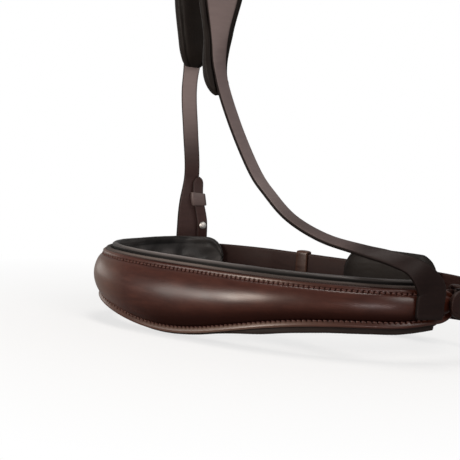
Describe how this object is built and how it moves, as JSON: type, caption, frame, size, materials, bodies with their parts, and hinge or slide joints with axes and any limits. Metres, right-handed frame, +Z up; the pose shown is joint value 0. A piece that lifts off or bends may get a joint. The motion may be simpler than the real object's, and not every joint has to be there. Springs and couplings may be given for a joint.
{
  "type": "padded crank noseband with hanger straps",
  "caption": "Padded raised leather noseband for a bridle, with a stitched nosepiece, slim hanger straps over a padded crown, and a chin strap with a sliding pad, keeper and roller buckle.",
  "frame": {"origin": "underside of the crown pad at the top of its arch, where the horse's poll or a bridle bracket carries it", "axes": "+Z up, +X towards the buckled right arm, -Y towards the front of the nosepiece"},
  "size_m": [0.2858, 0.1665, 0.3396],
  "materials": {
    "brown_leather": "polished reddish brown bridle leather",
    "dark_leather": "plain dark brown bridle leather",
    "black_padding": "soft black grained leather over padding",
    "dark_binding": "dark rolled binding leather",
    "filler_felt": "felt core, hidden",
    "steel": "bright steel"
  },
  "bodies": {
    "noseband": {"nose_leather": "brown_leather", "nose_filler": "filler_felt", "nose_backing": "dark_binding", "nose_lining": "black_padding", "chin_strap": "dark_leather", "buckle_frame": "steel", "buckle_chape": "dark_leather", "buckle_keeper": "dark_leather", "headpiece_strap": "dark_leather", "crown_pad": "black_padding", "left_billet": "dark_leather", "left_billet_keeper": "brown_leather", "left_hook_stud": "steel"},
    "keeper": {"chin_strap_keeper": "brown_leather"},
    "chin_pad": {"chin_pad_leather": "dark_leather", "chin_pad_cushion": "black_padding", "chin_pad_loop_left": "dark_leather", "chin_pad_loop_right": "dark_leather"},
    "tongue": {"buckle_tongue": "steel"},
    "roller": {"buckle_roller": "steel"}
  },
  "joints": [
    {"name": "keeper_slide", "type": "slide", "parent": "noseband", "child": "keeper", "axis": [1, 0, 0], "range_m": [-0.018, 0.018]},
    {"name": "chin_pad_slide", "type": "slide", "parent": "noseband", "child": "chin_pad", "axis": [1, 0, 0], "range_m": [-0.024, 0.004]},
    {"name": "tongue_hinge", "type": "hinge", "parent": "noseband", "child": "tongue", "pos_m": [0.22027, 0.01043, -0.2895], "axis": [0, 0, -1], "range_deg": [0, 10]},
    {"name": "roller_spin", "type": "hinge", "parent": "noseband", "child": "roller", "pos_m": [0.21638, 0.03411, -0.2895], "axis": [0, 0, 1], "continuous": true}
  ]
}
